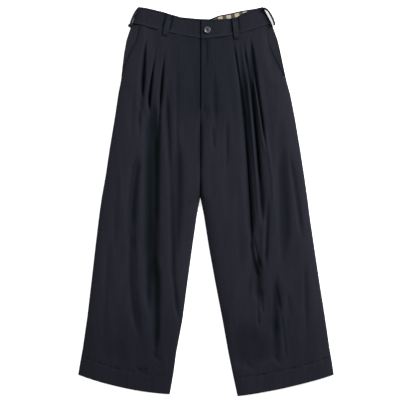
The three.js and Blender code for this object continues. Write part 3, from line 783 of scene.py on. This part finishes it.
# %% The two fronts
STILL_EDGE = 12  # the ripple fades out over a twelfth of the width
# Painted shade in the dent of the hem's stitched line
STITCH_PAINTED_SHADE = 0.6


def front_shape(side):
    def shape(u, v):
        x, y = leg_point(side, "mouth", u, v)
        hem = hem_relief(side, u, v)
        inside = smooth(u * STILL_EDGE) * smooth((1 - u) * STILL_EDGE)
        z = front_top(side, x, y) + (ripple(x, y) + hem) * inside
        return x, y, z, 1 - (1 - painted_shade(side, x, y)) * (1 - STITCH_PAINTED_SHADE * np.clip(-hem, 0, 1))
    return shape


FRONT_GRID = (124, 340)
FRONT_CLOTH = 0.85 * CLOTH
for side in LEGS:
    sheet(f"front_{side}", FRONT_GRID, front_shape(side), FRONT_CLOTH)


# %% [markdown]
# The backs lie on the table, so their under sides are level, and only their edges show.

# %% The two backs
BACK_GRID = (40, 140)
BACK_CLOTH = 1.1
for side in LEGS:
    def shape(u, v, side=side):
        x, y = leg_point(side, "side", u, v)
        return x, y, BACK_CLOTH + 0 * x, 0

    sheet(f"back_{side}", BACK_GRID, shape, BACK_CLOTH)


# %% [markdown]
# ## Pockets
# The cloth in a slanted pocket mouth is a facing that lies under the front panel's cut edge.

# %% Pocket facings
FACING_GRID = (16, 60)
# Painted shadow along the pocket mouth, fading out towards the band
FACING_HALF, FACING_HIGH, FACING_FADE = 3, 450, 70
for side, leg in LEGS.items():
    def shape(u, v, side=side, leg=leg):
        y = blend(leg.sections[0].side_y, FACING_END, v)
        inner = edge_x(side, "mouth", y) + MOUTH_UNDER * leg.inward
        x = blend(edge_x(side, "side", y), inner, u)
        low = blend(seam_y(side, x) - SEAM / 2, FACING_END, v)
        mouth = mound(x - edge_x(side, "mouth", y), FACING_HALF)
        mouth *= smooth((FACING_HIGH - y) / FACING_FADE)
        below = smooth((seam_y(side, x) - low) / FADE)
        z = blend(band_under(side, x, low) - SEAM, FRONT_REST + CLOTH, below)
        return x, low, z, MOUTH_PAINTED_SHADOW[side] * mouth

    sheet(f"pocket_facing_{side}", FACING_GRID, shape, CLOTH)


# %% [markdown]
# ## Waistband
# The band is two layers with a stiff layer between, so it is thicker than the panels. The left end
# laps over the right one. Its long edges are round, where the cloth is folded, and a line of
# stitches dents it along the top.

# %% Waistband pieces
FRONT_LOOPS = {"right": ((-97, 476), (-107, 432)), "left": ((75, 474), (80.5, 423))}
LOOP_WIDE, LOOP_THICK, LOOP_ARCH = 15, 1.6, 1.2
BAND_DEEP, BAND_ROUND = 45, 2.5
TOPSTITCH_IN, TOPSTITCH_HALF = 5, 1.2
FOOT_IN, FOOT_HALF, FOOT_HIGH = 3, 2.6, 0.9
# Width of the painted shadow along the left end's lapped edge
LAP_END_HALF = 2.2


def painted_loop_shadow(side, x, y):
    """1 in the painted shadow on both sides of a front loop."""
    (top_x, top_y), (low_x, low_y) = FRONT_LOOPS[side]
    middle = top_x + (low_x - top_x) * (y - top_y) / (low_y - top_y)
    return mound(np.abs(x - middle) - LOOP_WIDE / 2 - 1.5, 3.5)


def band_shape(side, inner_x):
    end = BAND_ENDS[side]

    def shape(u, v):
        top_x = end.top_x + (inner_x - end.top_x) * u
        low_x = end.low_x + (inner_x - end.low_x) * u
        x = blend(top_x, low_x, v)
        y = blend(table_line(BAND_TOPS[side], top_x), seam_y(side, low_x) + SEAM / 2, v)
        foot = (1 - v) * BAND_DEEP
        edge = np.minimum(v * BAND_DEEP, foot)
        stitched = mound(edge - TOPSTITCH_IN, TOPSTITCH_HALF) * (v < 0.5)
        crown = FOOT_HIGH * mound(foot - FOOT_IN, FOOT_HALF) - 0.4 * stitched
        crown -= 0.7 * (1 - rise(edge, BAND_ROUND))
        z = band_under(side, x, y) + BAND_CLOTH + crown + 0.3 * ripple(x * 1.4, y * 3)
        # Painted shade on all of the band but its lower rim, which so looks lit, more in the middle and
        # on the stitched line; painted shadows beside the loops and along the left end's lapped edge
        dark = (0.16 + 0.16 * mound(x, 80) + 0.4 * stitched) * (1 - mound(foot, 4))
        dark += 0.85 * painted_loop_shadow(side, x, y) * smooth((1 - v) * 3)
        dark = np.minimum(dark, 1)
        return x, y, z, 1 - (1 - dark) * (1 - 0.8 * mound(x - CENTRE_X, LAP_END_HALF))
    return shape


BAND_GRID = (120, 30)
BAND_WALL = 1.6
for side, inner_x in (("right", SHIELD_TO), ("left", CENTRE_X + SEAM / 2)):
    sheet(f"waistband_{side}", BAND_GRID, band_shape(side, inner_x), BAND_WALL)


# %% [markdown]
# The back of the band shows behind the front one, and in it a narrow strip of the checked lining.

# %% The back waistband and its lining
STRIP_GRID = (120, 20)
LINING_INSET, LINING_EDGE = 8, 4
LINING_WALL = 0.9


def strip_shape(top_z, inset, edge):
    """A level strip from side to side, inset at its ends and set back at its edges."""
    right, left = BAND_ENDS.values()

    def shape(u, v):
        top_x = right.top_x + inset + (left.top_x - right.top_x - 2 * inset) * u
        low_x = right.low_x + inset + (left.low_x - right.low_x - 2 * inset) * u
        seam = np.where(low_x < CENTRE_X, seam_y("right", low_x), seam_y("left", low_x)) + SEAM / 2
        x = blend(top_x, low_x, v)
        y = blend(table_line(BAND_TOPS["back"], top_x) - edge, seam + edge, v)
        return x, y, top_z + 0 * x, 0.0
    return shape


back_band = sheet("waistband_back", STRIP_GRID, strip_shape(BAND_CLOTH, 0, 0), BAND_CLOTH)
lining_shape = strip_shape(BAND_REST + LINING_CLOTH, LINING_INSET, LINING_EDGE)
lining_sheet = sheet("waistband_lining", STRIP_GRID, lining_shape, LINING_WALL,
                     finish=("check_lining", lining))


# %% [markdown]
# ## Belt loops
# A loop is a narrow strip folded in three and stitched along both edges. The front ones lie on the
# band. The side ones stand out from the folded sides, seen on edge.

# %% Front belt loops
LOOP_GRID = (22, 60)
LOOP_WALL = 1.2
TACK = 0.07  # share of a loop's length from each end to its bar tack


def loop_axes(side):
    """The two ends of a front loop, and the direction across it."""
    top, low = np.array(FRONT_LOOPS[side], float)
    down = (low - top) / np.linalg.norm(low - top)
    return top, low, np.array((-down[1], down[0]))


for side in FRONT_LOOPS:
    def shape(u, v, side=side):
        top, low, across = loop_axes(side)
        x, y = (blend(top[k], low[k], v) + across[k] * LOOP_WIDE * (u - 0.5) for k in (0, 1))
        edge = np.minimum(u, 1 - u) * LOOP_WIDE
        crown = -0.5 * (1 - rise(edge, 1.2)) - 0.3 * mound(edge - 2.2, 0.6)
        tack = -0.5 * (mound(v - TACK, 0.03) + mound(v - 1 + TACK, 0.03))
        z = band_under(side, x, y) + BAND_CLOTH + LAYER + LOOP_ARCH * np.sin(math.pi * v)
        # Painted shade along the loop's two folded edges
        return x, y, z + LOOP_THICK + crown + tack, 0.55 * mound(edge, 1.8)

    sheet(f"belt_loop_front_{side}", LOOP_GRID, shape, LOOP_WALL, "strip")

# %% Side belt loops
SIDE_LOOPS = {
    "right": ((-177.2, 506), (-186, 497), (-193.5, 482), (-199, 467), (-199.5, 456.5), (-196.5, 457)),
    "left": ((150, 506), (159, 503), (168, 495), (177, 479), (181.5, 466), (181, 458), (175, 459)),
}
ARC_GRID = (16, 70)
ARC_LOW, ARC_HIGH, ARC_OUT = 0.4, 14.4, 1.3
ARC_THICK = 4.2  # the bulk of a folded loop, more than the 2.2 mm of its solid
ARC_LEAN = {"right": 3.4, "left": 3}


def lengths(line):
    """Distance along a line of points, at each of them."""
    return np.concatenate([[0], np.cumsum(np.linalg.norm(np.diff(line, axis=0), axis=1))])


def along(length, line, where):
    """x and y at distances along a line of points."""
    return np.array([np.interp(where, length, line[:, k]) for k in (0, 1)])


def curve_through(points, share):
    """Points and tangents of a smooth curve through the points, at shares of its length."""
    knots = np.array(points, float)
    ends = np.vstack([2 * knots[0] - knots[1], knots, 2 * knots[-1] - knots[-2]])
    steps = []
    for i in range(1, len(ends) - 2):
        p0, p1, p2, p3 = ends[i - 1:i + 3]
        t = np.linspace(0, 1, 20, endpoint=i == len(ends) - 3)[:, None]
        steps.append(0.5 * (2 * p1 + (p2 - p0) * t + (2 * p0 - 5 * p1 + 4 * p2 - p3) * t ** 2
                            + (3 * p1 - p0 - 3 * p2 + p3) * t ** 3))
    line = np.vstack(steps)
    length = lengths(line)
    where = share * length[-1]
    at = along(length, line, where).T
    tangent = along(length, np.gradient(line, axis=0), where).T
    return at, tangent / np.linalg.norm(tangent, axis=1)[:, None]


for side, route in SIDE_LOOPS.items():
    def shape(u, v, side=side, route=route):
        at, tangent = curve_through(route, v)
        lean = ARC_LEAN[side] * LEGS[side].inward * np.sin(math.pi * v)
        out = np.stack([tangent[:, 1], -tangent[:, 0]], 1) * LEGS[side].inward * -1
        edge = np.minimum(u, 1 - u) * (ARC_HIGH - ARC_LOW)
        skin = ARC_OUT - 0.3 * (1 - rise(edge, 1.2))
        x = at[:, 0] + out[:, 0] * skin + lean * u
        y = at[:, 1] + out[:, 1] * skin
        return x, y, ARC_LOW + (ARC_HIGH - ARC_LOW) * u, 0.0 * x

    sheet(f"belt_loop_side_{side}", ARC_GRID, shape, ARC_THICK,
                             "strip", facing=(-LEGS[side].inward, 0.5, 0))


# %% [markdown]
# ## Button
# A resin button is turned: a disc with a raised round rim, a dished face and four drilled holes. A
# round is raised ring by ring with extrude and resize, as on a lathe, and the holes are cut.

# %% The turned button
BUTTON_AT = Vector((3.5, 446)) * MM
HOLES, HOLE_RADIUS, HOLE_OUT = 4, 1.15, 1.9
DRILL_LONG = 20
PROFILE = ((7.6, 0), (8.3, 0.6), (8.5, 1.4), (8.3, 2.2), (7.7, 2.7), (7.0, 2.8), (6.3, 2.5),
           (5.6, 1.9), (4.6, 1.55), (2.6, 1.45))
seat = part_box("button")[0].z
clear_selection()
bpy.ops.mesh.primitive_circle_add(vertices=64, radius=PROFILE[0][0] * MM, fill_type="NGON",
                                  location=(BUTTON_AT.x, BUTTON_AT.y, seat))
button = bpy.context.object
button.name = "button_turned"
bpy.ops.object.mode_set(mode="EDIT")
bpy.ops.mesh.select_all(action="SELECT")
for (radius, height), (before, low) in zip(PROFILE[1:], PROFILE[:-1]):
    bpy.ops.mesh.extrude_region_move(TRANSFORM_OT_translate={"value": (0, 0, (height - low) * MM)})
    bpy.ops.transform.resize(value=(radius / before, radius / before, 1))
bpy.ops.mesh.select_all(action="SELECT")
bpy.ops.mesh.normals_make_consistent(inside=False)
bpy.ops.object.mode_set(mode="OBJECT")
for k in range(HOLES):
    turn = math.pi / HOLES + k * 2 * math.pi / HOLES
    place = (BUTTON_AT.x + HOLE_OUT * MM * math.cos(turn),
             BUTTON_AT.y + HOLE_OUT * MM * math.sin(turn), seat)
    clear_selection()
    bpy.ops.mesh.primitive_cylinder_add(vertices=16, radius=HOLE_RADIUS * MM,
                                        depth=DRILL_LONG * MM, location=place)
    drill = bpy.context.object
    apply_modifier(button, "BOOLEAN", object=drill, operation="DIFFERENCE", solver="EXACT")
    bpy.data.objects.remove(drill)
select_only(button)
bpy.ops.object.transform_apply(location=True, rotation=True, scale=True)
join_frame(button, "button", button_horn)
print("button:", len(button.data.polygons), "faces")

# %% [markdown]
# ## Stitching
# One stitch is a tiny spindle of thread. It is modelled once and copied along each seam, all the
# copies in one mesh, at the real spacing of about three millimetres.

# %% One stitch and its copies
STITCH_PITCH, STITCH_LONG, STITCH_WIDE, STITCH_UP = 3.2, 2.4, 0.5, 0.05


def copies_along(name, places, length=STITCH_LONG, width=STITCH_WIDE):
    """A mesh of stitches at (x, y, z, direction) places in millimetres and radians."""
    clear_selection()
    bpy.ops.mesh.primitive_uv_sphere_add(segments=6, ring_count=4, radius=0.5)
    seed = bpy.context.object
    points = np.array([v.co for v in seed.data.vertices]) * np.array((length, width, width)) * MM
    faces = [list(p.vertices) for p in seed.data.polygons]
    bpy.data.objects.remove(seed)
    all_points, all_faces = [], []
    for i, (x, y, z, turn) in enumerate(places):
        c, s = math.cos(turn), math.sin(turn)
        spun = points @ np.array(((c, s, 0), (-s, c, 0), (0, 0, 1)))
        all_points.append(spun + np.array((x, y, z)) * MM)
        all_faces += [[k + i * len(points) for k in face] for face in faces]
    mesh = bpy.data.meshes.new(name)
    mesh.from_pydata(np.vstack(all_points).tolist(), [], all_faces)
    print(name, len(places))
    return join_frame(new_object(name, mesh), None, thread)


def stitch_places(side, points, lift=STITCH_UP):
    """Evenly spaced places along a line of x and y, on the top side of a front."""
    line = np.array(points, float)
    length = lengths(line)
    where = np.arange(STITCH_PITCH / 2, length[-1], STITCH_PITCH)
    x, y = along(length, line, where)
    step_x, step_y = along(length, line, where + 0.5) - along(length, line, where - 0.5)
    return list(zip(x, y, front_top(side, x, y) + lift, np.arctan2(step_y, step_x)))


# %% Hem, pocket and fly stitching
MOUTH_STITCH_X, MOUTH_STITCH_Y = 6, -3
FLY_STITCH = ((25, 416), (25, 330), (24, 300), (20, 278), (10, 260), (-2, 252), (-11, 250))


def hem_line(side):
    """Points of the hem's stitched line: in each column, where the hem is HEM_STITCH away."""
    line = []
    v = np.linspace(0.9, 1, 200)
    for share in np.linspace(0.03, 0.97, 160):
        u = np.full(len(v), share)
        nearest = np.argmin(np.abs(hem_distance(side, u, v) - HEM_STITCH))
        line.append([c[nearest] for c in leg_point(side, "mouth", u, v)])
    return line


for side, leg in LEGS.items():
    sunk = STITCH_UP + HEM_STEP - HEM_DENT
    copies_along(f"hem_stitches_{side}", stitch_places(side, hem_line(side), sunk))
    mouth = [(row.mouth_x + MOUTH_STITCH_X * leg.inward, row.mouth_y + MOUTH_STITCH_Y)
             for row in leg.sections[:5]]
    copies_along(f"pocket_stitches_{side}", stitch_places(side, mouth))
fly_line = curve_through(FLY_STITCH, np.linspace(0, 1, 90))[0]
copies_along("fly_stitches", stitch_places("left", fly_line))

# %% Bar tacks on the belt loops, and the button's thread
TACK_STITCHES, TACK_PITCH, TACK_SUNK = 13, 1.0, 0.3
CROSS_SHIFT, CROSS_UP = 0.35, 1.75
tacks = []
for side in FRONT_LOOPS:
    top, low, across = loop_axes(side)
    turn = math.atan2(across[0], -across[1])
    for at in (TACK, 1 - TACK):
        middle = blend(top, low, at)
        level = band_under(side, *middle.reshape(2, 1))[0] + BAND_CLOTH + LAYER + LOOP_THICK
        height = level + LOOP_ARCH * math.sin(math.pi * at) - TACK_SUNK
        for i in range(TACK_STITCHES):
            spot = middle + across * TACK_PITCH * (i - (TACK_STITCHES - 1) / 2)
            tacks.append((*spot, height, turn))
copies_along("bar_tacks", tacks, 2.2, 0.8)

cross = []
for turn in (math.pi / 4, 3 * math.pi / 4):
    for shift in (-CROSS_SHIFT, 0, CROSS_SHIFT):
        cross.append((BUTTON_AT.x / MM - shift * math.sin(turn),
                      BUTTON_AT.y / MM + shift * math.cos(turn), seat / MM + CROSS_UP, turn))
copies_along("button_thread", cross, 2 * HOLE_OUT + 0.9, 0.7)

# %% [markdown]
# ## Hidden pieces
# The fly's shield and zip stay the model's own solids, under the lapped edge, with their finishes.

# %% Finishes of the model's own pieces
for node, material, slot in (("fly_shield", inner_cloth, "navy_inside"), ("fly_zip", tape, "zip_tape")):
    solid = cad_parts[node]
    solid.data.materials.clear()
    solid.data.materials.append(material)
    print(node, material.name)


# %% [markdown]
# ## A loop over both legs, which does nothing

# %% An empty loop over the legs
for side in LEGS:
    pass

# %% [markdown]
# ## Stage, light and camera
# The garment lies on a plain white surface that glows a little, seen from straight above. As in the
# photo, a large soft lamp shines in from the right, so each fold has a lit and a dark side. A weak
# one at the left and a pale surround keep its shadows open.

# %% Floor and surround
FLOOR_SIZE = 8
FLOOR_GLOW, SURROUND_GLOW = 0.7, 0.32
clear_selection()
bpy.ops.mesh.primitive_plane_add(size=FLOOR_SIZE, location=(0, 0, -0.5 * MM))
floor = bpy.context.object
floor.name = "floor"
# A white acrylic sheet lit from below, usual under goods cut out on white
white, tree, shader, _ = new_material("white lit acrylic sheet")
set_values(shader, {"Emission Color": (1, 1, 1, 1), "Emission Strength": FLOOR_GLOW,
                    "Base Color": linear("#fafafa"), "Roughness": 0.9})
floor.data.materials.append(white)

world = bpy.data.worlds.new("studio")
bpy.context.scene.world = world
world.use_nodes = True
set_values(world.node_tree.nodes["Background"], {"Color": (1, 1, 1, 1), "Strength": SURROUND_GLOW})
bpy.context.scene.view_settings.view_transform = "Standard"
print("floor:", FLOOR_SIZE, "m square")


# %% Lamps
def soft_light(name, place, size, watts):
    """A square soft box aimed at the garment's middle."""
    lamp = bpy.data.lights.new(name, "AREA")
    lamp.shape = "SQUARE"
    lamp.size = size
    lamp.energy = watts
    light = new_object(name, lamp)
    light.location = place
    light.rotation_euler = (-Vector(place)).to_track_quat("-Z", "Y").to_euler()


soft_light("window side", (2.9, 2.5, 2.3), 1.8, 400)
soft_light("far side", (-3.0, 0.5, 2.5), 1.6, 40)

# %% [markdown]
# A pixel of the photo is 2.6 mm of the garment, which fixes the lens for a camera 4 m up.

# %% Camera
PIXEL = 2.6
SIDE_PIXELS = 410
SENSOR = 36
VIEW_HEIGHT = 4.0
CLOTH_HEIGHT = 0.01
VIEW_CENTRE = (-2.6 * MM, -9.1 * MM)
camera_data = bpy.data.cameras.new("camera")
camera_data.sensor_width = SENSOR
frame_half = PIXEL * SIDE_PIXELS / 2 * MM
camera_data.lens = SENSOR / 2 * (VIEW_HEIGHT - CLOTH_HEIGHT) / frame_half
camera = new_object("camera", camera_data)
camera.location = (VIEW_CENTRE[0], VIEW_CENTRE[1], VIEW_HEIGHT)
bpy.context.scene.camera = camera
print("lens:", round(camera_data.lens, 1), "mm")
